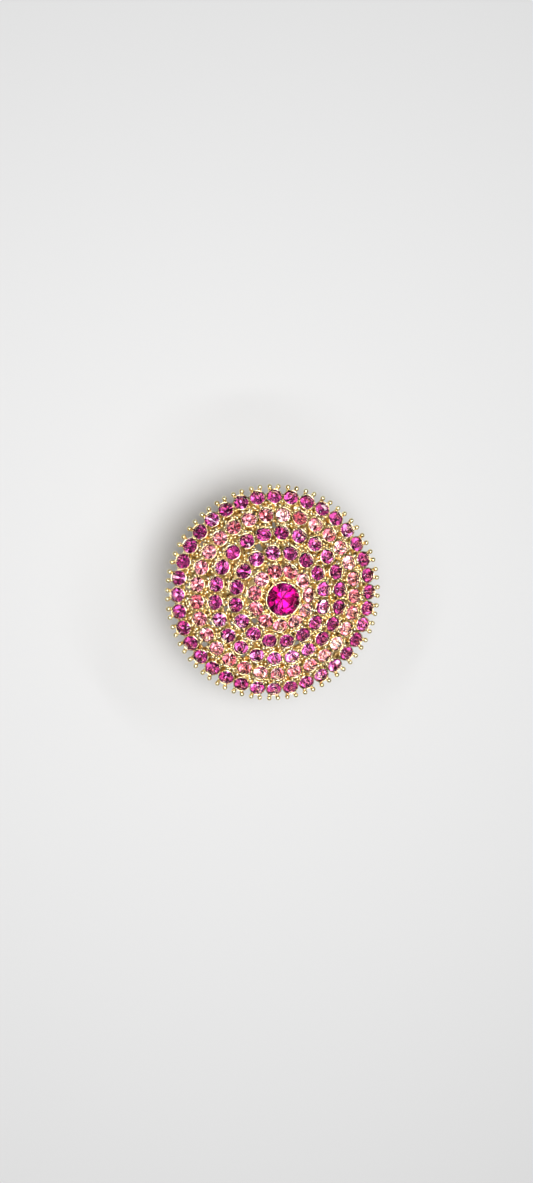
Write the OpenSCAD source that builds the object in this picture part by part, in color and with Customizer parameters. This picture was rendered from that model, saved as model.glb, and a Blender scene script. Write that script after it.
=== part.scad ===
// Cocktail ring: a dome of foiled glass stones in claw cups, soldered to an open gold-tone frame, on a
// stretch band of arc links that two elastic cords hold together. The origin is the centre of the finger
// hole, +Y runs along the finger and +Z goes up through the middle of the dome. Sizes are in millimetres.

/* [Dome] */
// Radius of the outermost row of stones
dome_r = 20; // [19.8:0.1:21]
// Rise of the dome from its outermost row to its middle
dome_h = 11.2; // [10.8:0.1:11.5]
// Shape of the dome's side, where 1 is a cone and 2 is a paraboloid
dome_power = 1.3; // [1.25:0.01:1.4]
// Height of the outermost row above the finger's axis
dome_z = 12.8; // [12.8:0.1:13]
// How far the cups lean outwards, as a share of the dome's own slope
lean_share = 0.55; // [0.5:0.05:0.6]

/* [Rows of stones] */
// Radius of row 1, the innermost
row_1_r = 5.75; // [5.7:0.05:5.8]
// Stones in row 1
row_1_count = 11; // [8:1:11]
// Turn of row 1 about the dome's axis
row_1_turn = 22; // [0:0.5:32]
// Radius of row 2
row_2_r = 9.05; // [9:0.05:9.15]
// Stones in row 2
row_2_count = 16; // [10:1:16]
// Turn of row 2 about the dome's axis
row_2_turn = 25.5; // [0:0.5:36]
// Radius of row 3
row_3_r = 12.85; // [12.75:0.05:12.95]
// Stones in row 3
row_3_count = 22; // [12:1:22]
// Turn of row 3 about the dome's axis
row_3_turn = 21.5; // [0:0.5:30]
// Radius of row 4
row_4_r = 16.4; // [16.35:0.05:16.5]
// Stones in row 4
row_4_count = 29; // [16:1:29]
// Turn of row 4 about the dome's axis
row_4_turn = 27; // [0:0.5:30]
// Stones in row 5, the outermost
row_5_count = 36; // [20:1:36]
// Turn of row 5 about the dome's axis
row_5_turn = 16.5; // [0:0.5:20]

/* [Small stones] */
// Radius of a small stone at its girdle
stone_r = 1.42; // [1.3:0.01:1.42]
// Height of a small stone's crown above its girdle
stone_crown_h = 0.58; // [0.4:0.01:0.7]
// Depth of a small stone's pavilion below its girdle
stone_pavilion_h = 1.25; // [1:0.01:1.28]
// Share of a stone's width that its flat table takes
table_share = 0.57; // [0.5:0.01:0.65]

/* [Centre stone] */
// Radius of the centre stone at its girdle
centre_r = 3.25; // [3:0.05:3.25]
// Height of the centre stone's crown
centre_crown_h = 1.2; // [0.8:0.05:1.5]
// Depth of the centre stone's pavilion
centre_pavilion_h = 3.1; // [2.5:0.05:3.2]
// How far the centre stone stands above the dome's own line
centre_raise = 0.4; // [0.2:0.05:0.6]
// Claws round the centre stone
centre_claws = 8; // [4:1:12]
// Radius of the ball on each centre claw
centre_ball_r = 0.42; // [0.38:0.01:0.45]

/* [Claw cups] */
// Depth of a cup below its stone's girdle
cup_depth = 1.55; // [1.5:0.05:1.6]
// Height of a cup's rim above the girdle
cup_rim_h = 0.1; // [0.05:0.01:0.15]
// Outer radius of a cup at its rim
cup_rim_r = 1.62; // [1.6:0.01:1.66]
// Outer radius of a cup at its foot
cup_foot_r = 1.3; // [1.2:0.01:1.35]
// Radius of the open hole in a cup's foot
cup_hole_r = 0.7; // [0.4:0.05:0.9]
// Radius of the ball on an outer claw in the outermost row
outer_ball_r = 0.38; // [0.34:0.01:0.4]
// Radius of the ball on an outer claw in the other rows
inner_ball_r = 0.33; // [0.3:0.01:0.34]

/* [Frame] */
// Width of each hoop that a row of cups is soldered to
hoop_w = 2.2; // [2.1:0.1:2.4]
// Thickness of each hoop
hoop_t = 0.6; // [0.55:0.01:0.6]
// Width of each rib under the hoops
rib_w = 0.8; // [0.6:0.1:1]
// Thickness of each rib
rib_t = 0.6; // [0.5:0.05:0.7]
// Ribs round the dome
rib_count = 12; // [8:4:12]
// Thickness of the pierced strips that fill the gaps between hoops
filigree_t = 0.3; // [0.25:0.01:0.3]
// Radius of the strips' open holes
filigree_hole_r = 0.55; // [0.3:0.05:0.6]
// Width of the two crossed bars on the head's back
bar_w = 3; // [2:0.1:3.2]
// Thickness of the crossed bars
bar_t = 1.1; // [0.9:0.1:1.2]

/* [Stretch band] */
// Radius of the finger hole with the band closed
finger_r = 8.65; // [8.65:0.05:8.75]
// Width of the band along the finger
band_w = 6; // [5.4:0.1:7]
// Thickness of the band's links
band_t = 1.8; // [1.7:0.05:1.8]
// Gap between neighbouring links with the band closed
link_gap = 0.12; // [0.08:0.01:0.12]
// Distance of each elastic cord from the middle of the band
cord_y = 1.6; // [1.3:0.1:1.8]
// Radius of an elastic cord
cord_r = 0.35; // [0.25:0.01:0.37]
// Clearance round a cord in its channel
cord_clearance = 0.1; // [0.08:0.01:0.12]

/* [Hidden] */
gold = "#d9a441";
fuchsia = "#c2186b";
rose = "#f3a6b4";
elastic = "#e9e4da";
round_fn = 64;   // true curves
cut_fn = 8;      // flat-sided stones
row_r = [row_1_r, row_2_r, row_3_r, row_4_r, dome_r];
row_count = [row_1_count, row_2_count, row_3_count, row_4_count, row_5_count];
row_turn = [row_1_turn, row_2_turn, row_3_turn, row_4_turn, row_5_turn];
solder = 0.1;                                        // how far soldered faces sink into each other
hoop_depth = cup_depth - solder + hoop_t / 2;        // of a hoop's middle, below the girdles
rib_top_depth = hoop_depth + hoop_t / 2 + 0.1;       // steeper than the hoops, ribs meet their upper edges
stone_fit = 0.03;                                    // play between a stone and its cup's wall
cup_wall_r = stone_r + stone_fit;
ledge_h = 0.14;                                      // of the seat's ledge below the girdle
ledge_w = 0.15;
foot_t = 0.18;
foot_inner_r = cup_foot_r - 0.18;
claw_tip_r = 0.2;                                    // of a claw's wire, which thickens to its root
ear_root_r = 0.34;
claw_root_r = cup_foot_r + 0.05;
claw_root_h = cup_depth - 0.35;
ear_angle = 21.5;                                    // of the two outer claws, each side of straight out
grip_angle = 140;                                    // of the two inner claws
outer_ear_r = 2.04;
inner_ear_r = 1.86;
ear_h = 0.35;
grip_r = 1.66;
grip_h = 0.2;
grip_ball_r = 0.27;
filigree_depth = cup_depth + 0.03 + filigree_t / 2;  // of a strip's upper end, just under the cups' feet
filigree_drop = 0.33;                                // its lower end sits this much deeper
filigree_sink = 0.2;                                 // how far its ends reach into the hoops
pierce_cycle = 17;
pierced_in_cycle = 4;
centre_z = dome_z + dome_h + centre_raise;
hub_top_z = dome_z + dome_h - 3.05;
hub_h = 0.65;
hub_inner_r = 2.4;
hub_outer_r = 3.8;
collet_foot_z = hub_top_z - centre_z - solder / 2;   // below the centre stone's girdle
collet_wall = 0.25;
collet_inner_r = centre_r + 0.05;
collet_outer_r = collet_inner_r + collet_wall;
collet_foot_r = 2.5;
collet_ledge_h = 0.3;
rib_from_r = 3.6;
rib_to_r = dome_r;
rib_steps = 12;
bar_z = finger_r + band_t - 0.05;
bar_reach = dome_r - 1.1;
band_outer_r = finger_r + band_t;
cord_ring_r = finger_r + band_t / 2;
link_count = 11;
link_step = 360 / (link_count + 1);
edge_r = 0.5;                                        // round on the band's outer edges
edge_cut = 0.2;                                      // bevel on its inner edges
pad_w = 4;
pad_d = 4.8;
crimp_r = 0.5;
crimp_l = 1.6;
pocket_l = 2;
pocket_clearance = 0.06;

// The dome's own line: its height, the lean of what stands on it, and the point a given depth under it
function height_at(r) = dome_z + dome_h * (1 - pow(r / dome_r, dome_power));
function slope_at(r) = atan(dome_h * dome_power / dome_r * pow(r / dome_r, dome_power - 1));
function lean_at(r) = lean_share * slope_at(r);
function under(r, depth) = [r - depth * sin(lean_at(r)), height_at(r) - depth * cos(lean_at(r))];

// The same point moved outwards, square to the lean, by a given distance
function beside(r, depth, shift) = under(r, depth) + shift * [cos(lean_at(r)), -sin(lean_at(r))];

// Whether the filigree is open at gap i under a row: about one gap in four, unevenly spread
function pierced(row, i) = (8 * i * i + 4 * i + 12 * row) % pierce_cycle < pierced_in_cycle;

// Places its child at every stone of a row, with x outwards and z along the stone's own axis
module along_row(row) {
    r = row_r[row];
    for (i = [0:row_count[row] - 1])
        rotate([0, 0, row_turn[row] + i * 360 / row_count[row]])
            translate([r, 0, height_at(r)])
                rotate([0, lean_at(r), 0])
                    children();
}

// A round stone with a flat table, its girdle at z = 0
module cut_stone(r, crown_h, pavilion_h) {
    cylinder(h = crown_h, r1 = r, r2 = r * table_share, $fn = cut_fn);
    translate([0, 0, -pavilion_h])
        cylinder(h = pavilion_h, r1 = 0, r2 = r, $fn = cut_fn);
}

// One claw: a leaning, tapered wire with a ball on its end
module claw(angle, root_r, root_h, wire_r, tip_r, tip_h, ball_r) {
    lean = atan2(tip_r - root_r, tip_h + root_h);
    length = norm([tip_r - root_r, tip_h + root_h]);
    rotate([0, 0, angle])
        translate([root_r, 0, -root_h])
            rotate([0, lean, 0]) {
                cylinder(h = length, r1 = wire_r, r2 = claw_tip_r, $fn = round_fn);
                translate([0, 0, length])
                    sphere(r = ball_r, $fn = round_fn);
            }
}

// One open-footed cup with a ledge for the stone, two outer claws and two inner ones
module claw_cup(ear_r, ear_ball_r) {
    rotate_extrude($fn = round_fn)
        polygon([
            [cup_hole_r, -cup_depth],
            [cup_foot_r, -cup_depth],
            [cup_rim_r, cup_rim_h],
            [cup_wall_r, cup_rim_h],
            [cup_wall_r, -ledge_h],
            [cup_wall_r - ledge_w, -ledge_h],
            [foot_inner_r, foot_t - cup_depth],
            [cup_hole_r, foot_t - cup_depth]
        ]);
    for (side = [-1, 1]) {
        claw(side * ear_angle, claw_root_r, claw_root_h, ear_root_r, ear_r, ear_h, ear_ball_r);
        claw(side * grip_angle, grip_r, ledge_h, claw_tip_r, grip_r, grip_h, grip_ball_r);
    }
}

module stones_row(row, tint) {
    color(tint)
        along_row(row)
            cut_stone(stone_r, stone_crown_h, stone_pavilion_h);
}

module cups_row(row, ear_r, ear_ball_r) {
    color(gold)
        along_row(row)
            claw_cup(ear_r, ear_ball_r);
}

// The conical strip under one row of cups
module hoop(row) {
    color(gold)
        rotate_extrude($fn = round_fn)
            translate(under(row_r[row], hoop_depth))
                rotate(-lean_at(row_r[row]))
                    square([hoop_w, hoop_t], center = true);
}

// The pierced conical strip from one hoop to the next one out, with its holes between the outer row's cups
module filigree(row) {
    reach = hoop_w / 2 - filigree_sink;
    inner = beside(row_r[row - 1], filigree_depth, reach);
    outer = beside(row_r[row], filigree_depth + filigree_drop, -reach);
    middle = (inner + outer) / 2;
    fall = atan2(inner[1] - outer[1], outer[0] - inner[0]);
    color(gold)
        difference() {
            rotate_extrude($fn = round_fn)
                translate(middle)
                    rotate(-fall)
                        square([norm(outer - inner), filigree_t], center = true);
            for (i = [0:row_count[row] - 1])
                if (pierced(row, i))
                    rotate([0, 0, row_turn[row] + (i + 0.5) * 360 / row_count[row]])
                        translate([middle[0], 0, middle[1]])
                            rotate([0, fall, 0])
                                cylinder(h = 4 * filigree_t, r = filigree_hole_r, center = true,
                                         $fn = round_fn);
        }
}

module centre_stone() {
    color(fuchsia)
        translate([0, 0, centre_z])
            cut_stone(centre_r, centre_crown_h, centre_pavilion_h);
}

module centre_collet() {
    color(gold)
        translate([0, 0, centre_z]) {
            rotate_extrude($fn = round_fn)
                polygon([
                    [collet_foot_r, collet_foot_z],
                    [collet_foot_r + collet_wall, collet_foot_z],
                    [collet_outer_r, -collet_ledge_h],
                    [collet_outer_r, cup_rim_h],
                    [collet_inner_r, cup_rim_h],
                    [collet_inner_r, -collet_ledge_h],
                    [collet_inner_r - collet_wall, -collet_ledge_h]
                ]);
            for (i = [0:centre_claws - 1])
                claw(i * 360 / centre_claws, collet_outer_r, collet_ledge_h, claw_tip_r,
                     collet_outer_r, ear_h, centre_ball_r);
        }
}

// The ring that the centre collet and the ribs' inner ends are soldered to
module hub_ring() {
    color(gold)
        translate([0, 0, hub_top_z - hub_h])
            difference() {
                cylinder(h = hub_h, r = hub_outer_r, $fn = round_fn);
                translate([0, 0, -1])
                    cylinder(h = hub_h + 2, r = hub_inner_r, $fn = round_fn);
            }
}

// Twelve curved ribs that run down the dome under the hoops
module dome_ribs() {
    step = (rib_to_r - rib_from_r) / rib_steps;
    line = [for (i = [0:rib_steps]) rib_from_r + i * step];
    outline = concat(
        [for (r = line) under(r, rib_top_depth)],
        [for (i = [rib_steps:-1:0]) under(line[i], rib_top_depth + rib_t)]
    );
    color(gold)
        for (i = [0:rib_count - 1])
            rotate([0, 0, (i + 0.5) * 360 / rib_count])
                rotate([90, 0, 0])
                    linear_extrude(height = rib_w, center = true)
                        polygon(outline);
}

// Two crossed bars across the open back, from side to side of the outermost hoop
module back_bars() {
    color(gold)
        for (turn = [0, 90])
            rotate([0, 0, turn])
                translate([-bar_reach, -bar_w / 2, bar_z])
                    cube([2 * bar_reach, bar_w, bar_t]);
}

// Turns its child's z axis along the finger, with its y axis up
module round_finger() {
    rotate([90, 0, 0])
        children();
}

// The band's section: bevelled inner edges and rounded outer ones
module band_section() {
    half = band_w / 2;
    round_x = band_outer_r - edge_r;
    round_y = half - edge_r;
    polygon([
        [finger_r, edge_cut - half],
        [finger_r + edge_cut, -half],
        [round_x, -half],
        [round_x, half],
        [finger_r + edge_cut, half],
        [finger_r, half - edge_cut]
    ]);
    translate([round_x, -round_y])
        square([edge_r, 2 * round_y]);
    for (side = [-1, 1])
        translate([round_x, side * round_y])
            circle(r = edge_r, $fn = round_fn);
}

// One link's worth of the band about local angle 0, with its two cord channels
module band_segment() {
    apex = link_gap / 2 / sin(link_step / 2);
    reach = 2 * band_outer_r;
    spread = reach * tan(link_step / 2);
    difference() {
        intersection() {
            rotate_extrude($fn = round_fn)
                band_section();
            linear_extrude(height = 2 * band_w, center = true)
                polygon([[apex, 0], [apex + reach, -spread], [apex + reach, spread]]);
        }
        for (side = [-1, 1])
            cord_ring(side, cord_r + cord_clearance);
    }
}

// A whole ring of round section where a cord runs
module cord_ring(side, r) {
    rotate_extrude($fn = round_fn)
        translate([cord_ring_r, side * cord_y])
            circle(r = r, $fn = round_fn);
}

// The fixed top segment, with a pad for the crossed bars and a pocket round each crimp
module band_bridge() {
    color(gold)
        difference() {
            union() {
                round_finger()
                    rotate([0, 0, 90])
                        band_segment();
                difference() {
                    translate([-pad_w / 2, -pad_d / 2, cord_ring_r])
                        cube([pad_w, pad_d, bar_z + solder - cord_ring_r]);
                    round_finger()
                        for (side = [-1, 1])
                            cord_ring(side, cord_r + cord_clearance);
                }
            }
            for (side = [-1, 1])
                crimp_place(side)
                    cylinder(h = pocket_l, r = crimp_r + pocket_clearance, center = true, $fn = round_fn);
        }
}

// Puts its child on a cord in the middle of the bridge, with its z axis along the cord
module crimp_place(side) {
    translate([0, side * cord_y, cord_ring_r])
        rotate([0, 90, 0])
            children();
}

module crimp(side) {
    color(gold)
        difference() {
            crimp_place(side)
                cylinder(h = crimp_l, r = crimp_r, center = true, $fn = round_fn);
            crimp_place(side)
                cylinder(h = crimp_l + 1, r = cord_r, center = true, $fn = round_fn);
        }
}

module link(place) {
    color(gold)
        round_finger()
            rotate([0, 0, 90 - place * link_step])
                band_segment();
}

module elastic_cord(side) {
    color(elastic)
        round_finger()
            cord_ring(side, cord_r);
}

centre_stone();
stones_row(0, rose);  // stones_row_1
stones_row(1, fuchsia);  // stones_row_2
stones_row(2, fuchsia);  // stones_row_3
stones_row(3, rose);  // stones_row_4
stones_row(4, fuchsia);  // stones_row_5
centre_collet();
cups_row(0, inner_ear_r, inner_ball_r);  // cups_row_1
cups_row(1, inner_ear_r, inner_ball_r);  // cups_row_2
cups_row(2, inner_ear_r, inner_ball_r);  // cups_row_3
cups_row(3, inner_ear_r, inner_ball_r);  // cups_row_4
cups_row(4, outer_ear_r, outer_ball_r);  // cups_row_5
hoop(0);  // hoop_1
hoop(1);  // hoop_2
hoop(2);  // hoop_3
hoop(3);  // hoop_4
hoop(4);  // hoop_5
filigree(1);  // filigree_1
filigree(2);  // filigree_2
filigree(3);  // filigree_3
filigree(4);  // filigree_4
hub_ring();
dome_ribs();
back_bars();
band_bridge();
link(1);  // link_1
link(2);  // link_2
link(3);  // link_3
link(4);  // link_4
link(5);  // link_5
link(6);  // link_6
link(7);  // link_7
link(8);  // link_8
link(9);  // link_9
link(10);  // link_10
link(11);  // link_11
elastic_cord(1);  // elastic_cord_front
elastic_cord(-1);  // elastic_cord_back
crimp(-1);  // crimp_front
crimp(1);  // crimp_back
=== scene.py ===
# %% [markdown]
# # A domed cocktail ring
# The ring is a dome of 115 foiled glass stones in claw cups, soldered to an open gold-tone frame
# that sits on a stretch band. Everything is in metres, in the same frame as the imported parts: the
# origin is the centre of the finger hole, +Y runs along the finger and +Z goes up through the
# middle of the dome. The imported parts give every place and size. Blender adds what a lathe-plain
# model leaves out: facets, rolled rims, granulation, the look of foil behind glass and of polished
# plating.

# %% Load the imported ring
import math
import random

import bmesh
import bpy
from mathutils import Matrix, Vector, noise


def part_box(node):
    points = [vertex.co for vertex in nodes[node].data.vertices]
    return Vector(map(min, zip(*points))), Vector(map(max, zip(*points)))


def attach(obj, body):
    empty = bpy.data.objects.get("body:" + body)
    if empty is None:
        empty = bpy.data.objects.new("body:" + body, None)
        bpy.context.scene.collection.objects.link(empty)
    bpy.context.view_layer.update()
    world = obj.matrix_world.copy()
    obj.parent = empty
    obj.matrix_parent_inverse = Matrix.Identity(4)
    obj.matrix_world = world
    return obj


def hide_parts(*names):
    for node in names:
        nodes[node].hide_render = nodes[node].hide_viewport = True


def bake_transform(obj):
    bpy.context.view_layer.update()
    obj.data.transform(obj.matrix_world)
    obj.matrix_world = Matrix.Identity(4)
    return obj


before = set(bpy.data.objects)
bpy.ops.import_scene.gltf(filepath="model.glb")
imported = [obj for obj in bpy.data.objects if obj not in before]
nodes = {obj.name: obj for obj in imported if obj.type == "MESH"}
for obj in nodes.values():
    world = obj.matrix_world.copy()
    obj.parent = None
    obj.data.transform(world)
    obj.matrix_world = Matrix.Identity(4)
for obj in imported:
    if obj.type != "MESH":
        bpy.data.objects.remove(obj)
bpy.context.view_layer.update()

MM = 0.001
FULL_TURN = 2 * math.pi
ROWS = (1, 2, 3, 4, 5)

# %% [markdown]
# ## Small helpers
# Each piece is one mesh with its place in its vertices. `add_object` turns a bmesh into an object
# with its materials. `finish_piece` does that too, rides the object on a body of the frame and
# hides the imported parts it stands for. `stamp` copies a finished shape to a new place inside a
# bigger bmesh, which is how 36 equal cups become one row.

# %% Helpers
def add_object(bm, name, materials, smooth=True):
    mesh = bpy.data.meshes.new(name)
    bm.to_mesh(mesh)
    bm.free()
    for material in materials:
        mesh.materials.append(material)
    mesh.polygons.foreach_set("use_smooth", [smooth] * len(mesh.polygons))
    made = bpy.data.objects.new(name, mesh)
    bpy.context.scene.collection.objects.link(made)
    return made


def finish_piece(bm, name, materials, body, slot, replaced=(), smooth=True):
    piece = add_object(bm, name, materials, smooth)
    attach(piece, body)
    if replaced:
        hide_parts(*replaced)
    print(f"{name}: {len(piece.data.polygons)} faces")
    return piece


def stamp(bm, shape, place):
    before = len(bm.verts)
    bm.from_mesh(shape)
    bm.verts.ensure_lookup_table()
    bmesh.ops.transform(bm, matrix=place, verts=bm.verts[before:])


def to_shape(bm, name):
    shape = bpy.data.meshes.new(name)
    bm.to_mesh(shape)
    bm.free()
    return shape


def outward(bm):
    """Joins a shape's loose corners and turns its faces outward."""
    bmesh.ops.remove_doubles(bm, verts=bm.verts, dist=1e-7)
    bmesh.ops.recalc_face_normals(bm, faces=bm.faces)


# %% [markdown]
# ## Where every stone sits
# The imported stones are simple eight-sided ones: 17 corners each, the culet (the point at the
# bottom), the eight corners of the girdle (the widest line) and the eight of the flat table.
# Reading those corners back gives each stone's exact seat, so nothing here has to know how many
# stones a row holds or how it is turned. A seat is a matrix with z straight out of the dome and x
# down the slope. The corners are told apart by how far out they lie along the dome's rough lean,
# which is close enough to sort them.

# %% Seats
ROUGH_LEAN = 0.6


def islands(bm):
    left = set(bm.verts)
    while left:
        group, edge = set(), {left.pop()}
        while edge:
            vert = edge.pop()
            group.add(vert)
            edge |= {e.other_vert(vert) for e in vert.link_edges} - group
        left -= group
        yield [v.co.copy() for v in group]


def centre_of(points):
    return sum(points, Vector()) / len(points)


def seats_of(node):
    bm = bmesh.new()
    bm.from_mesh(nodes[node].data)
    bmesh.ops.remove_doubles(bm, verts=bm.verts, dist=1e-6)
    found = []
    for corners in islands(bm):
        middle = centre_of(corners)
        straight_out = Vector((middle.x, middle.y, 0)) * ROUGH_LEAN
        straight_out.z = math.hypot(middle.x, middle.y)
        if straight_out.length < MM:
            straight_out = Vector((0, 0, 1))
        corners.sort(key=straight_out.dot)
        culet, girdle, table = corners[0], corners[1:9], corners[9:]
        out = (centre_of(table) - culet).normalized()
        seat = centre_of(girdle)
        across = Vector((0, 0, 1)).cross(out)
        across = across.normalized() if across.length > 1e-4 else Vector((0, 1, 0))
        turn = Matrix((across.cross(out), across, out)).transposed().to_4x4()
        sizes = {"r": (girdle[0] - seat).length, "crown": (centre_of(table) - seat).length,
                 "pavilion": (culet - seat).length, "table": (table[0] - centre_of(table)).length}
        found.append((math.atan2(seat.y, seat.x), Matrix.Translation(seat) @ turn, sizes))
    bm.free()
    found.sort(key=lambda seat: seat[0])
    return found


seats = {row: seats_of(f"stones_row_{row}") for row in ROWS}
centre_seat = seats_of("centre_stone")[0]
small = seats[5][0][2]
print({row: len(s) for row, s in seats.items()}, {k: round(v / MM, 2) for k, v in small.items()})
print("centre stone", {k: round(v / MM, 2) for k, v in centre_seat[2].items()})

# %% [markdown]
# ## The camera
# The ring is seen from almost straight above the dome, tipped 11 degrees towards one side, with the
# finger's axis leaning a little to the right of upright. A camera is easiest to place from three
# directions: where it stands, which way is up in the frame, and what point it looks at.

# %% Camera
TILT = math.radians(10.8)
TILT_TOWARDS = math.radians(161.8)
ROLL = math.radians(16.4)
CAMERA_DISTANCE = 280 * MM
FRAME_HEIGHT = 245 * MM
AIM_LEFT, AIM_UP = 1.55 * MM, 0.35 * MM
SENSOR = 36.0

flat = math.sin(TILT)
back = Vector((flat * math.cos(TILT_TOWARDS), flat * math.sin(TILT_TOWARDS), math.cos(TILT)))
finger_up = Vector((0, 1, 0))
up_flat = (finger_up - finger_up.dot(back) * back).normalized()
up = (Matrix.Rotation(ROLL, 3, back) @ up_flat).normalized()
right = up.cross(back).normalized()
edge_z = seats[5][0][1].translation.z
aim = Vector((0, 0, edge_z)) - right * AIM_LEFT + up * AIM_UP
camera_data = bpy.data.cameras.new("camera")
camera_data.sensor_width = SENSOR
camera_data.lens = SENSOR * CAMERA_DISTANCE / FRAME_HEIGHT
camera_data.clip_start = CAMERA_DISTANCE / 100
camera_data.clip_end = CAMERA_DISTANCE * 20
camera = bpy.data.objects.new("camera", camera_data)
bpy.context.scene.collection.objects.link(camera)
camera_axes = Matrix((right, up, back)).transposed().to_4x4()
camera.matrix_world = Matrix.Translation(aim + back * CAMERA_DISTANCE) @ camera_axes
bpy.context.scene.camera = camera
print("lens", round(camera_data.lens, 1), "mm, aimed at", [round(x / MM, 1) for x in aim])

# %% [markdown]
# ## A shader calculator
# A material is a graph of nodes, and sums read badly as boxes and wires. This small class wraps one
# socket, so that an ordinary expression such as `0.2 + 0.5 * mask` adds the Math nodes by itself.
# Colours go through Mix nodes, because a Math node would turn them grey.

# %% Shader helpers
class Wire:
    """One value in a material's node graph."""

    def __init__(self, kit, socket):
        self.kit, self.socket = kit, socket

    def _math(self, operation, *values):
        return self.kit.node("ShaderNodeMath", {"operation": operation}, *values)

    def __add__(self, other):
        return self._math("ADD", self, other)

    def __mul__(self, other):
        return self._math("MULTIPLY", self, other)

    __radd__, __rmul__ = __add__, __mul__


class Kit:
    """Builds one material round a Principled BSDF."""

    def __init__(self, name, **constants):
        self.material = bpy.data.materials.new(name)
        self.material.use_nodes = True
        self.tree = self.material.node_tree
        self.shader = self.tree.nodes["Principled BSDF"]
        for label, value in constants.items():
            self.shader.inputs[label.replace("_", " ")].default_value = value

    def node(self, kind, settings, *values, out=0, **named):
        made = self.tree.nodes.new(kind)
        for key, value in settings.items():
            if key == "stops":
                ramp = made.color_ramp
                while len(ramp.elements) < len(value):
                    ramp.elements.new(0.5)
                for element, (place, colour) in zip(ramp.elements, value):
                    element.position, element.color = place, (*colour, 1)
            else:
                setattr(made, key, value)
        labelled = [(label.replace("_", " "), value) for label, value in named.items()]
        for place, value in [*enumerate(values), *labelled]:
            if isinstance(value, Wire):
                self.tree.links.new(value.socket, made.inputs[place])
            else:
                made.inputs[place].default_value = value
        return Wire(self, made.outputs[out])

    def place(self, grain=(1, 1, 1)):
        spot = self.node("ShaderNodeTexCoord", {}, out="Object")
        return self.node("ShaderNodeMapping", {}, spot, Scale=grain)

    def noise(self, scale, detail=2, roughness=0.5, grain=(1, 1, 1)):
        return self.node("ShaderNodeTexNoise", {}, self.place(grain), Scale=scale, Detail=detail,
                         Roughness=roughness)

    def ramp(self, value, *stops):
        return self.node("ShaderNodeValToRGB", {"stops": stops}, value)

    def mix(self, factor, first, second, blend="MIX"):
        made = self.tree.nodes.new("ShaderNodeMix")
        made.data_type, made.blend_type = "RGBA", blend
        for place, value in ((0, factor), (6, first), (7, second)):
            if isinstance(value, Wire):
                self.tree.links.new(value.socket, made.inputs[place])
            else:
                made.inputs[place].default_value = value if place == 0 else (*value, 1)
        return Wire(self, made.outputs[2])

    def bump(self, height, strength, distance):
        return self.node("ShaderNodeBump", {}, Strength=strength, Distance=distance, Height=height)

    def set(self, **links):
        for label, wire in links.items():
            self.tree.links.new(wire.socket, self.shader.inputs[label.replace("_", " ")])
        return self.material


# %% [markdown]
# ## Gold-tone plating
# Plating over a casting is a metal with a warm tint. Three things keep it from looking like
# plastic: the tint darkens and reddens a little in patches where the plating is thin, the skin has
# the soft orange-peel of a tumble-polished casting, and creases get a painted shade, browner and
# darker than ridges, placed by the Pointiness of the mesh. The frame has a rougher skin and a more
# even tint, the floor between the cups is darkened all over as painted shade, and the band's links
# are brushed across.

# %% Gold materials
# thin, plain and thick plating
GOLD_TINTS = ((0.86, 0.62, 0.27), (1.0, 0.87, 0.52), (1.0, 0.97, 0.76))
FRAME_TINTS = ((0.92, 0.68, 0.35), (0.96, 0.75, 0.42), (1.0, 0.82, 0.50))
# painted shade: darker tints for the whole floor between the cups
SHADED_FLOOR_TINTS = ((0.34, 0.17, 0.05), (0.56, 0.34, 0.12), (0.88, 0.66, 0.32))
PATCH_STOPS = (0.3, 0.5, 0.72)
PATCH_SCALE = 900
PATCH_ROUGHENS = 0.16
# painted shade: the first stop tints creases browner and darker than ridges
CREASE_SHADE, RIDGE = (0.42, (0.40, 0.20, 0.07)), (0.5, (1.0, 1.0, 1.0))


def gold_finish(name, rough, peel, peel_scale, tints=GOLD_TINTS, grain=(1, 1, 1)):
    kit = Kit(name, Metallic=1.0, IOR=1.5)
    patch = kit.noise(PATCH_SCALE, 4, 0.6)
    fine = kit.noise(peel_scale, grain=grain)
    tint = kit.ramp(patch, *zip(PATCH_STOPS, tints))
    # painted shade in the creases, placed by the mesh's Pointiness
    painted_crease_shade = kit.ramp(kit.node("ShaderNodeNewGeometry", {}, out="Pointiness"), CREASE_SHADE, RIDGE)
    return kit.set(Base_Color=kit.mix(1.0, tint, painted_crease_shade, "MULTIPLY"),
                   Roughness=rough + PATCH_ROUGHENS * patch, Normal=kit.bump(fine, 0.5, peel))


polished_gold = gold_finish("polished gold plating", 0.04, 0.014 * MM, 2500)
cast_gold = gold_finish("cast gold plating", 0.14, 0.06 * MM, 1800, FRAME_TINTS)
# the floor between the cups gets painted shade: darker tints all over
shaded_floor_gold = gold_finish("gold plating with painted shade", 0.2, 0.07 * MM, 2200, SHADED_FLOOR_TINTS)
brushed_gold = gold_finish("brushed gold plating", 0.12, 0.03 * MM, 1500, FRAME_TINTS, (1, 12, 1))
print("gold:", polished_gold.name, cast_gold.name, shaded_floor_gold.name, brushed_gold.name)

# %% [markdown]
# ## Foiled glass
# A rhinestone is coloured glass with a mirror of foil on the back. Light goes in through the crown,
# is thrown about by the pavilion's mirror facets and comes out again, which makes the star. So each
# stone is one closed mesh with two finishes: clear tinted glass on the crown and tinted mirror on
# the pavilion. Every facet also has its own painted brightness, from an attribute called `shade`
# that is written on the mesh and read by the foil: painted shade, painted light or, now and then, a
# painted white flash. The large stone is a deeper fuchsia, as its glass is thicker.

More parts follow.
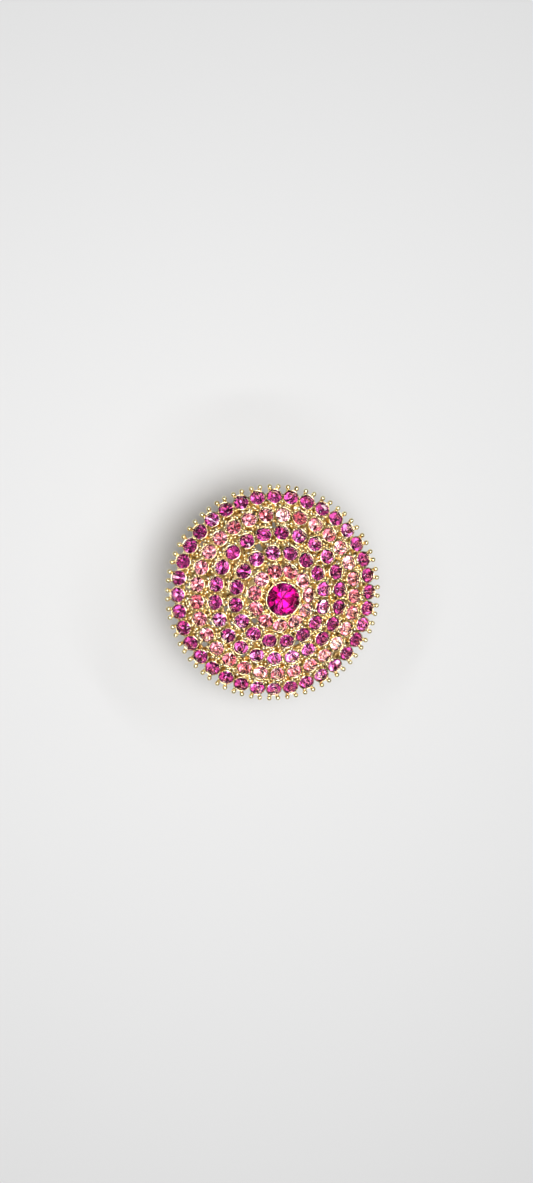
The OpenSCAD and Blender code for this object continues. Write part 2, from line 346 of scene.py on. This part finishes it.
# %% Gem materials
# dark, lit and flash are the foil's painted shade, painted light and painted white flash
FUCHSIA = {"glass": (0.97, 0.77, 0.93), "dark": (0.26, 0.05, 0.15), "lit": (0.68, 0.27, 0.52),
           "flash": (1, 0.85, 0.97)}
DEEP_FUCHSIA = {"glass": (0.97, 0.62, 0.92), "dark": (0.18, 0.010, 0.08), "lit": (0.66, 0.05, 0.38),
                "flash": (1, 0.8, 0.95)}
ROSE = {"glass": (1.0, 0.89, 0.91), "dark": (0.43, 0.12, 0.15), "lit": (0.92, 0.63, 0.69),
        "flash": (1, 0.95, 0.95)}
FULLY_LIT, FLASH = 0.8, 1.0


def gem_finish(name, glass, dark, lit, flash):
    crown = Kit(name + " crown", Roughness=0.0, IOR=1.54)
    crown.shader.inputs["Transmission Weight"].default_value = 1.0
    cloud = crown.noise(400)
    crown_glass = crown.set(Base_Color=crown.mix(cloud, tuple(0.94 * c for c in glass), glass))
    foil = Kit(name + " foil", Metallic=1.0)
    shade = foil.node("ShaderNodeAttribute", {"attribute_name": "shade"}, out="Fac")
    # the foil's colour is painted from `shade`: painted shade, painted light, painted white flash
    tint = foil.ramp(shade, (0.0, dark), (0.75, lit), (FULLY_LIT, lit), (0.95, flash))
    back_foil = foil.set(Base_Color=tint, Roughness=0.12 + 0.1 * foil.noise(1500))
    return crown_glass, back_foil


fuchsia_gem = gem_finish("fuchsia glass", **FUCHSIA)
deep_fuchsia_gem = gem_finish("deep fuchsia glass", **DEEP_FUCHSIA)
rose_gem = gem_finish("light rose glass", **ROSE)
print("gems:", fuchsia_gem[0].name, deep_fuchsia_gem[0].name, rose_gem[0].name)

# %% [markdown]
# ## Cutting a stone
# A real stone is ground flat, facet after facet, from a round blank, and `bisect_plane` does just
# that: it cuts the blank with a plane and throws the outside away. Every facet is named by its
# slope, its compass direction and one point it passes through. The order doesn't matter, as it
# doesn't on the wheel. The small facets by the girdle, two to each main one, are a few degrees
# steeper than it.

# %% Stone cutter
GIRDLE = 0.03
STAR_SLOPE, STAR_REACH = 0.6, 0.98
CROWN_HALF_STEEPER, PAVILION_HALF_STEEPER = math.radians(6), math.radians(4)


def grind(bm, slope, heading, radius, height):
    """Cuts one facet through (radius, height), at a slope that is negative below the girdle."""
    face_up = 1 if slope > 0 else -1
    direction = Vector((math.cos(heading), math.sin(heading), 0))
    normal = direction * math.sin(abs(slope)) + Vector((0, 0, face_up * math.cos(slope)))
    point = direction * radius + Vector((0, 0, height))
    everything = [*bm.verts, *bm.edges, *bm.faces]
    cut = bmesh.ops.bisect_plane(bm, geom=everything, dist=1e-8, plane_co=point, plane_no=normal,
                                 clear_outer=True)
    rim = [e for e in cut["geom_cut"] if isinstance(e, bmesh.types.BMEdge) and e.is_boundary]
    if rim:
        bmesh.ops.contextual_create(bm, geom=rim)


def cut_stone(size, facets, sides):
    """A brilliant-cut stone, its girdle at z = 0: a table, main facets, stars and girdle halves."""
    r, crown, pavilion, table = (size[k] for k in ("r", "crown", "pavilion", "table"))
    girdle = GIRDLE * r
    bm = bmesh.new()
    bmesh.ops.create_cone(bm, cap_ends=True, segments=sides, radius1=r, radius2=r,
                          depth=crown + pavilion)
    bmesh.ops.translate(bm, vec=(0, 0, (crown - pavilion) / 2), verts=bm.verts)
    step = FULL_TURN / facets
    crown_slope = math.atan2(crown - girdle, r - table)
    pavilion_slope = math.atan2(pavilion - girdle, r)
    for i in range(facets):
        grind(bm, crown_slope, i * step, r * math.cos(step / 4), girdle)
        grind(bm, crown_slope * STAR_SLOPE, (i + 0.5) * step, table * STAR_REACH, crown)
        grind(bm, -pavilion_slope, i * step, 0, -pavilion)
        for half in (0.25, 0.75):
            grind(bm, crown_slope + CROWN_HALF_STEEPER, (i + half) * step, r, girdle)
            grind(bm, -pavilion_slope - PAVILION_HALF_STEEPER, (i + half) * step, r, -girdle)
    outward(bm)
    for face in bm.faces:
        on_crown = face.normal.z > 0.05 or face.calc_center_median().z > -girdle
        face.material_index = 0 if on_crown else 1
    print("stone with", len(bm.faces), "faces")
    return to_shape(bm, "stone")


small_stone = cut_stone(small, 8, 16)
large_stone = cut_stone(centre_seat[2], 8, 32)

# %% [markdown]
# ## Setting the stones
# No two stones sit quite alike: each is turned at random about its own axis and tipped by a degree
# or two in its glue. Each facet's foil is painted bright and dark by turns, a painted star that
# stands for light coming back from every other facet, with painted shade near the girdle, some luck
# of the draw in each and a painted white flash in a few; the large stone also has one side painted
# brighter. The large stone isn't turned, and its star swings more and depends on luck less. The
# random numbers come from one seeded source, so every run sets the stones the same way.

# %% Rows of stones
draw = random.Random(11)
STONE_TIP = math.radians(2.5)
# share of facets given a painted white flash, a painted glint
FLASHES = 0.09
# EDGE_SHADE paints shade on facets towards the girdle
MIDDLE_SHADE, EDGE_SHADE = 0.55, 0.3
ROW_STAR = {"swing": 0.28, "luck": 0.4, "side": 0.0}
# side paints one side of the large stone brighter, as painted light
CENTRE_STAR = {"swing": 0.34, "luck": 0.14, "side": 0.1}
CENTRE_PHASE = math.radians(135)


def facet_shades(shape, phase, swing, luck, side):
    """A painted brightness for every facet: a painted star of light and shade, one painted
    bright side, painted shade by the girdle, luck, and now and then a painted white flash.
    """
    shades = []
    widest = max(face.center.xy.length for face in shape.polygons)
    for face in shape.polygons:
        turn = math.atan2(face.center.y, face.center.x) - phase
        # a painted star of light and shade, a painted bright side and painted shade by the girdle
        star = MIDDLE_SHADE + swing * math.cos(4 * turn) + side * math.cos(turn)
        star += draw.uniform(-luck, luck) - EDGE_SHADE * (face.center.xy.length / widest) ** 3
        shades.append(FLASH if draw.random() < FLASHES else min(max(star, 0.0), FULLY_LIT))
    return shades


def set_stones(name, row_seats, shape, materials, slot, replaced, star=ROW_STAR, phase=None):
    """Sets a row. Without a phase, each stone is turned at random and its star too."""
    bm = bmesh.new()
    shades = []
    for _, seat, _ in row_seats:
        turn = draw.uniform(0, FULL_TURN) if phase is None else 0
        tipped = Matrix.Rotation(draw.gauss(0, STONE_TIP), 4, "X")
        tipped = tipped @ Matrix.Rotation(draw.gauss(0, STONE_TIP), 4, "Y")
        stamp(bm, shape, seat @ tipped @ Matrix.Rotation(turn, 4, "Z"))
        own_phase = draw.uniform(0, FULL_TURN) if phase is None else phase
        shades += facet_shades(shape, own_phase, **star)
    piece = finish_piece(bm, name, materials, "head", slot, [replaced], smooth=False)
    shade = piece.data.attributes.new("shade", "FLOAT", "FACE")
    shade.data.foreach_set("value", shades)


ROSE_ROWS = (1, 4)
for row in ROWS:
    gem, slot = (rose_gem, "rose_glass") if row in ROSE_ROWS else (fuchsia_gem, "fuchsia_glass")
    set_stones(f"cut_stones_{row}", seats[row], small_stone, gem, slot, f"stones_row_{row}")
set_stones("cut_centre_stone", [centre_seat], large_stone, deep_fuchsia_gem, "fuchsia_glass",
           "centre_stone", CENTRE_STAR, CENTRE_PHASE)

# %% [markdown]
# ## A claw cup
# The cup is a small turned part, so its section is spun round an axis: an open foot, a wall that
# flares upwards, a rolled rim and the ledge the stone rests on. Its claws are cast with it. Two
# outer ones stand off the rim like ears, each a tapered root with a ball on its tip, and two short
# inner ones hug the girdle.

# %% Cup and claws
CUP_STEPS = 24
ROLL_STEPS = (45, 90, 135)
EAR_SPREAD, GRIP_SPREAD = math.radians(23.5), math.radians(140)


def spin_round(bm, corners, edges, steps):
    """Spins a line of corners once round z."""
    bmesh.ops.spin(bm, geom=[*corners, *edges], axis=(0, 0, 1), cent=(0, 0, 0), angle=FULL_TURN,
                   steps=steps, use_merge=True)


def turned_section(bm, points, steps):
    """Turns a closed section, given as (radius, height) points."""
    ring = [bm.verts.new((x, 0, z)) for x, z in points]
    edges = [bm.edges.new((ring[i - 1], ring[i])) for i in range(len(ring))]
    spin_round(bm, ring, edges, steps)
    outward(bm)


def rolled_rim(rim, wall, top):
    """The round of a rim in section, from its outside to its inside."""
    roll = (rim - wall) / 2
    angles = [math.radians(d) for d in ROLL_STEPS]
    return [((rim + wall) / 2 + roll * math.cos(a), top + roll * math.sin(a)) for a in angles]


def add_claw(bm, heading, root, tip, root_r, tip_r, ball_r):
    """A tapered wire from root to tip, both (radius, height), with a ball on the tip."""
    turn = Matrix.Rotation(heading, 4, "Z")
    start, end = (turn @ Vector((p[0], 0, p[1])) for p in (root, tip))
    along = end - start
    lean = along.to_track_quat("Z", "Y").to_matrix().to_4x4()
    place = Matrix.Translation((start + end) / 2) @ lean
    bmesh.ops.create_cone(bm, cap_ends=True, segments=8, radius1=root_r, radius2=tip_r,
                          depth=along.length, matrix=place)
    bmesh.ops.create_icosphere(bm, subdivisions=2, radius=ball_r, matrix=Matrix.Translation(end))


def cup_shape(r, ear, ear_ball):
    """A cup for a stone of radius r. ear is the outer balls' distance from the stone's axis."""
    rim, wall, top = 1.2 * r, 1.02 * r, 0.15 * MM
    foot, foot_inside, ledge, neck = -1.55 * MM, -1.37 * MM, -0.1 * r, top - (rim - wall) / 2
    section = [(0.5 * r, foot), (0.92 * r, foot), (1.04 * r, -0.8 * MM), (rim, neck)]
    section += rolled_rim(rim, wall, top)
    section += [(wall, neck), (wall, ledge), (0.92 * r, ledge), (0.8 * r, foot_inside),
                (0.5 * r, foot_inside)]
    bm = bmesh.new()
    turned_section(bm, section, CUP_STEPS)
    for side in (-1, 1):
        add_claw(bm, side * EAR_SPREAD, root=(1.02 * r, -1.1 * MM), tip=(ear, 0.35 * MM),
                 root_r=0.55 * MM, tip_r=0.34 * MM, ball_r=ear_ball)
        add_claw(bm, side * GRIP_SPREAD, root=(1.14 * r, -0.8 * MM), tip=(1.13 * r, 0.2 * MM),
                 root_r=0.22 * MM, tip_r=0.19 * MM, ball_r=0.27 * MM)
    return to_shape(bm, "cup")


outer_cup = cup_shape(small["r"], ear=2.27 * MM, ear_ball=0.54 * MM)
inner_cup = cup_shape(small["r"], ear=1.92 * MM, ear_ball=0.4 * MM)
for row in ROWS:
    bm = bmesh.new()
    for _, seat, _ in seats[row]:
        stamp(bm, outer_cup if row == 5 else inner_cup, seat)
    finish_piece(bm, f"claw_cups_{row}", [polished_gold], "head", "gold_tone", [f"cups_row_{row}"])

# %% [markdown]
# ## The centre collet
# The large stone has its own tall collet, turned like the cups but with a plain conical wall. Eight
# short claws close over its girdle, each a bead on a stub.

# %% Collet
CLAWS = 8
collet_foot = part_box("centre_collet")[0].z
girdle_z = centre_seat[1].translation.z


def collet_shape(r, foot):
    """The collet for a stone of radius r, with its foot at the given height below the girdle."""
    rim, wall, ledge = 1.075 * r, 1.015 * r, -0.3 * MM
    section = [(0.77 * r, foot), (0.85 * r, foot), (rim, -0.6 * MM), (rim, 0.0)]
    section += rolled_rim(rim, wall, 0.0)
    section += [(wall, 0.0), (wall, ledge), (0.93 * r, ledge)]
    bm = bmesh.new()
    turned_section(bm, section, 4 * CUP_STEPS)
    for i in range(CLAWS):
        add_claw(bm, i * FULL_TURN / CLAWS, root=(1.07 * r, -1.2 * MM), tip=(1.06 * r, 0.3 * MM),
                 root_r=0.3 * MM, tip_r=0.26 * MM, ball_r=0.4 * MM)
    return bm


collet = collet_shape(centre_seat[2]["r"], collet_foot - girdle_z)
bmesh.ops.transform(collet, matrix=centre_seat[1], verts=collet.verts)
finish_piece(collet, "stone_collet", [polished_gold], "head", "gold_tone", ["centre_collet"])

# %% [markdown]
# ## The filigree floor
# Between the cups the casting has a pierced floor, crusted with beads. The rows stand like the
# steps of a terrace, so the floor's line has four points: between the cups of the upper row, down
# their flank, up to the rims of the lower row, and between its cups. The line is spun round the
# dome, the faces in each cup and each open hole are left out, and Solidify and Subdivision Surface
# turn the ragged sheet into a wall with soft round holes. A little noise keeps it from looking
# machined.

# %% Filigree floors
FLOOR_THICKNESS = 0.3 * MM
COLUMNS_PER_GAP = 6
ACROSS = 10
CUP_ROOM = 1.15 * MM
HOLE_R = 0.66 * MM
HOLE_SHARE = 0.52
RIPPLE, RIPPLE_SCALE = 0.09 * MM, 900
PIERCE_CYCLE, PIERCED_IN_CYCLE = 17, 4
LOWER_SIDE = [(0.0, -0.8), (1.4, -0.95)]
UPPER_SIDE = [(-1.5, -0.6), (0.0, -0.8)]


def pierced(row, i):
    """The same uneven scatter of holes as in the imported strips, one gap in four."""
    return (8 * i * i + 4 * i + 12 * row) % PIERCE_CYCLE < PIERCED_IN_CYCLE


def from_seat(row_seats, points):
    """Points given as (outwards, up) in a cup's own frame, as radius and height on the dome."""
    seat = row_seats[0][1]
    at = [seat @ Vector((x * MM, 0, z * MM)) for x, z in points]
    return [(math.hypot(v.x, v.y), v.z) for v in at]


beside_collet = (1.02 * centre_seat[2]["r"], girdle_z - 1.6 * MM)
lines = {0: [beside_collet] + from_seat(seats[1], UPPER_SIDE)}
for gap in (1, 2, 3, 4):
    lines[gap] = from_seat(seats[gap], LOWER_SIDE) + from_seat(seats[gap + 1], UPPER_SIDE)
print("floor line 4:", [(round(r / MM, 1), round(z / MM, 1)) for r, z in lines[4]])


def on_floor(gap, share, heading, lift=0.0):
    """A point on a gap's floor, share of the way along its line and lift above it."""
    line = lines[gap]
    lengths = [math.dist(a, b) for a, b in zip(line, line[1:])]
    left = share * sum(lengths)
    for (r0, z0), (r1, z1), length in zip(line, line[1:], lengths):
        if left <= length or (r1, z1) == line[-1]:
            break
        left -= length
    part = left / length
    r = r0 + part * (r1 - r0) + lift * (z0 - z1) / length
    z = z0 + part * (z1 - z0) + lift * (r1 - r0) / length
    return Vector((r * math.cos(heading), r * math.sin(heading), z))


def hole_centres(gap):
    """Open holes lie midway between neighbouring cups of the outer row."""
    outer = seats[gap + 1]
    step = FULL_TURN / len(outer)
    first = min(outer, key=lambda seat: abs(seat[0]))[0]
    open_gaps = [i for i in range(len(outer)) if gap > 0 and pierced(gap, i)]
    return [on_floor(gap, HOLE_SHARE, first + (i + 0.5) * step) for i in open_gaps]


def cups_beside(gap):
    return [seat for row in (gap, gap + 1) if row in seats for seat in seats[row]]


def filigree_floor(gap):
    """Builds one gap's floor and gives back the middles of its open holes."""
    columns = COLUMNS_PER_GAP * len(seats[gap + 1])
    bm = bmesh.new()
    line = [bm.verts.new(on_floor(gap, i / ACROSS, 0)) for i in range(ACROSS + 1)]
    edges = [bm.edges.new(pair) for pair in zip(line, line[1:])]
    spin_round(bm, line, edges, columns)
    bmesh.ops.remove_doubles(bm, verts=bm.verts, dist=1e-7)
    holes = hole_centres(gap)
    sockets = [place.inverted() for _, place, _ in cups_beside(gap)]
    open_faces = []
    for face in bm.faces:
        middle = face.calc_center_median()
        in_hole = any((middle - hole).xy.length < HOLE_R for hole in holes)
        if in_hole or any((socket @ middle).xy.length < CUP_ROOM for socket in sockets):
            open_faces.append(face)
    bmesh.ops.delete(bm, geom=open_faces, context="FACES")
    bmesh.ops.recalc_face_normals(bm, faces=bm.faces)
    if sum(f.normal.z for f in bm.faces) < 0:
        bmesh.ops.reverse_faces(bm, faces=bm.faces)
    for vert in bm.verts:
        vert.co += vert.co.normalized() * RIPPLE * noise.noise(vert.co * RIPPLE_SCALE)
    replaced = [f"filigree_{gap}"] if f"filigree_{gap}" in nodes else []
    # the floor's material carries painted shade, darker all over
    piece = finish_piece(bm, f"filigree_floor_{gap}", [shaded_floor_gold], "head", "gold_tone", replaced)
    solid = piece.modifiers.new("wall", "SOLIDIFY")
    solid.thickness, solid.offset = FLOOR_THICKNESS, -1
    soft = piece.modifiers.new("soft", "SUBSURF")
    soft.levels = soft.render_levels = 1
    return holes


holes = {gap: filigree_floor(gap) for gap in lines}
print("open holes:", sum(len(h) for h in holes.values()))

# %% [markdown]
# ## Granulation
# The crust of tiny beads is what makes the gold glitter between the stones. Each bead is tried at a
# random spot on the floor, and is kept if it clears the cups, the open holes and the beads already
# there. Some are stretched a little, as beads run together in the casting.

# %% Beads
BEAD_GAP = 0.6 * MM
BEAD_R_MM = (0.28, 0.4)
BEAD_STRETCH = (1, 1.3)
FLOOR_SHARES = (0.03, 0.97)
CUP_REACH = 1.14
TRIES = {0: 600, 1: 1000, 2: 1500, 3: 2000, 4: 2400}


def bead_places(gap):
    keep_off = [(place.translation, CUP_REACH * size["r"]) for _, place, size in cups_beside(gap)]
    kept = []
    for _ in range(TRIES[gap]):
        r = draw.uniform(*BEAD_R_MM) * MM
        spot = on_floor(gap, draw.uniform(*FLOOR_SHARES), draw.uniform(0, FULL_TURN), 0.5 * r)
        if all((spot - hole).xy.length > HOLE_R + 0.3 * r for hole in holes[gap]):
            if all((spot - place).length > size + 0.8 * r for place, size in keep_off):
                if all((spot - other).length > BEAD_GAP for other, _ in kept):
                    kept.append((spot, r))
    return kept


def beads(gap):
    bm = bmesh.new()
    for spot, r in bead_places(gap):
        spun = Matrix.Rotation(draw.uniform(0, FULL_TURN), 4, "Z")
        spun = spun @ Matrix.Diagonal((draw.uniform(*BEAD_STRETCH), 1, 1, 1))
        place = Matrix.Translation(spot) @ spun
        bmesh.ops.create_icosphere(bm, subdivisions=2, radius=r, matrix=place)
    finish_piece(bm, f"beads_{gap}", [polished_gold], "head", "gold_tone")


for gap in lines:
    beads(gap)

# %% [markdown]
# ## Elastic cords
# Two elastic cords run through the bridge and the eleven links. A cord has to stretch where the
# links part; here it is made of one arc for each gap, from the middle of one link to the middle of
# the next, and an arc that spans two links is fixed in place and rides on neither. The last gap,
# opposite the head, has no joint of its own, so there one arc rides on link 6 and reaches well into
# link 7.

# %% Cords
LINKS = 11
CORD_R = 0.34 * MM
CORD_SIDES = 10
ARC_STEPS = 10
PACKED_CORD_R = 0.35 * MM
FREE = 1.1 * MM
LAST_GAP_SPLIT = (1.4 * MM, 1.6 * MM)
cord_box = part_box("elastic_cord_front")
CORD_RING_R = (cord_box[1].x - cord_box[0].x) / 2 - PACKED_CORD_R
cord_y = (cord_box[0].y + cord_box[1].y) / 2
CORD_Y = {"front": cord_y, "back": -cord_y}
LAST_LINK = "link_6"
link_step = FULL_TURN / (LINKS + 1)


def covered_elastic():
    kit = Kit("covered elastic", Roughness=0.7)
    weave = kit.noise(3500)
    tint = kit.ramp(weave, (0.35, (0.62, 0.58, 0.50)), (0.6, (0.86, 0.83, 0.76)))
    return kit.set(Base_Color=tint, Roughness=0.55 + 0.3 * weave,
                   Normal=kit.bump(weave, 0.6, 0.05 * MM))


elastic = covered_elastic()


def round_band(angle, y):
    """A point on a cord's ring: angle 0 is the bridge at the top, growing towards +X."""
    return Vector((CORD_RING_R * math.sin(angle), y, CORD_RING_R * math.cos(angle)))


def cord_arc(name, side, start, end, rides):
    """One arc of a cord, which rides on one body, or spans two and is fixed in place."""
    y = CORD_Y[side]
    bm = bmesh.new()
    across = Matrix.Rotation(start + FULL_TURN / 4, 4, "Y")
    bmesh.ops.create_circle(bm, cap_ends=True, segments=CORD_SIDES, radius=CORD_R,
                            matrix=Matrix.Translation(round_band(start, y)) @ across)
    bmesh.ops.spin(bm, geom=bm.faces[:], axis=(0, 1, 0), cent=(0, 0, 0), angle=end - start,
                   steps=ARC_STEPS)
    outward(bm)
    piece = add_object(bm, name, [elastic])
    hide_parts(f"elastic_cord_{side}")
    if len(rides) == 1:
        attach(piece, rides[0])
    else:
        middle = (start + end) / 2
        reach = FREE / CORD_RING_R
        round_band(middle - reach, y)
        round_band(middle + reach, y)
        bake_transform(piece)


bodies = ["head"] + [f"link_{i}" for i in range(1, LINKS + 1)]
for side in CORD_Y:
    for i, a in enumerate(bodies):
        start, end = i * link_step, (i + 1) * link_step
        if a == LAST_LINK:
            first, second = ((start + end) / 2 + split / CORD_RING_R for split in LAST_GAP_SPLIT)
            cord_arc(f"cord_{side}_{i}", side, start, first, [a])
            cord_arc(f"cord_{side}_{i}_end", side, second, end, [bodies[i + 1]])
        else:
            cord_arc(f"cord_{side}_{i}", side, start, end, [a, bodies[(i + 1) % len(bodies)]])
print("cord ring radius", round(CORD_RING_R / MM, 2), "mm")

# %% [markdown]
# ## The plain parts
# Hoops, ribs, hub, bars, bridge, links and crimps are right as packed, so they only get their
# finish.

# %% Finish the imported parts
for name, node in nodes.items():
    node.data.materials.clear()
    node.data.materials.append(brushed_gold if name.startswith(("link_", "band_")) else cast_gold)
print("finished:", len(nodes), "packed parts")

# %% [markdown]
# ## The floor
# The ring stands on its band on a plain pale floor. One big square is enough, laid at the height of
# the lowest link.

# %% Floor
FLOOR_HALF_SIDE = 1.5
PALE = (0.75, 0.75, 0.75, 1)
floor_bm = bmesh.new()
bmesh.ops.create_grid(floor_bm, x_segments=1, y_segments=1, size=FLOOR_HALF_SIDE)
floor_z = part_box("link_6")[0].z
bmesh.ops.translate(floor_bm, vec=(0, 0, floor_z), verts=floor_bm.verts)
pale = Kit("pale floor", Base_Color=PALE, Roughness=0.6)
floor = add_object(floor_bm, "floor", [pale.material], smooth=False)
print("floor at", round(floor_z / MM, 2), "mm")

# %% [markdown]
# ## The light
# Gold and cut glass show little but what they reflect, so the size of each light matters more than
# its power. A wide softbox overhead draws the bright line round every rim and whitens a few tables.
# Three narrow strips round it add a second and third glint to the beads. The surroundings are left
# dim, so that the creases between the glints stay brown.

# %% Lights
LIT_POINT = Vector((0, 0, 15 * MM))
OVERHEAD_UP = Vector((0, 0, 0.45))
STRIP_HEADINGS = (50, 170, 290)
STRIP_OUT = Vector((0.3, 0, 0.36))
DIM = 0.1


def softbox(name, size, energy, place):
    data = bpy.data.lights.new(name, "AREA")
    data.shape, data.size, data.size_y, data.energy = "RECTANGLE", size[0], size[1], energy
    light = bpy.data.objects.new(name, data)
    bpy.context.scene.collection.objects.link(light)
    light.location = place
    light.rotation_mode = "QUATERNION"
    light.rotation_quaternion = (place - LIT_POINT).to_track_quat("Z", "Y")


softbox("overhead", size=(0.23, 0.23), energy=1.9, place=aim + OVERHEAD_UP)
for i, heading in enumerate(STRIP_HEADINGS):
    side = Matrix.Rotation(math.radians(heading), 3, "Z") @ STRIP_OUT
    softbox(f"strip_{i}", size=(0.3, 0.018), energy=0.22, place=aim + side)
world = bpy.data.worlds.new("studio")
bpy.context.scene.world = world
world.use_nodes = True
world.node_tree.nodes["Background"].inputs["Color"].default_value = (1, 1, 1, 1)
world.node_tree.nodes["Background"].inputs["Strength"].default_value = DIM
bpy.context.scene.view_settings.view_transform = "Standard"
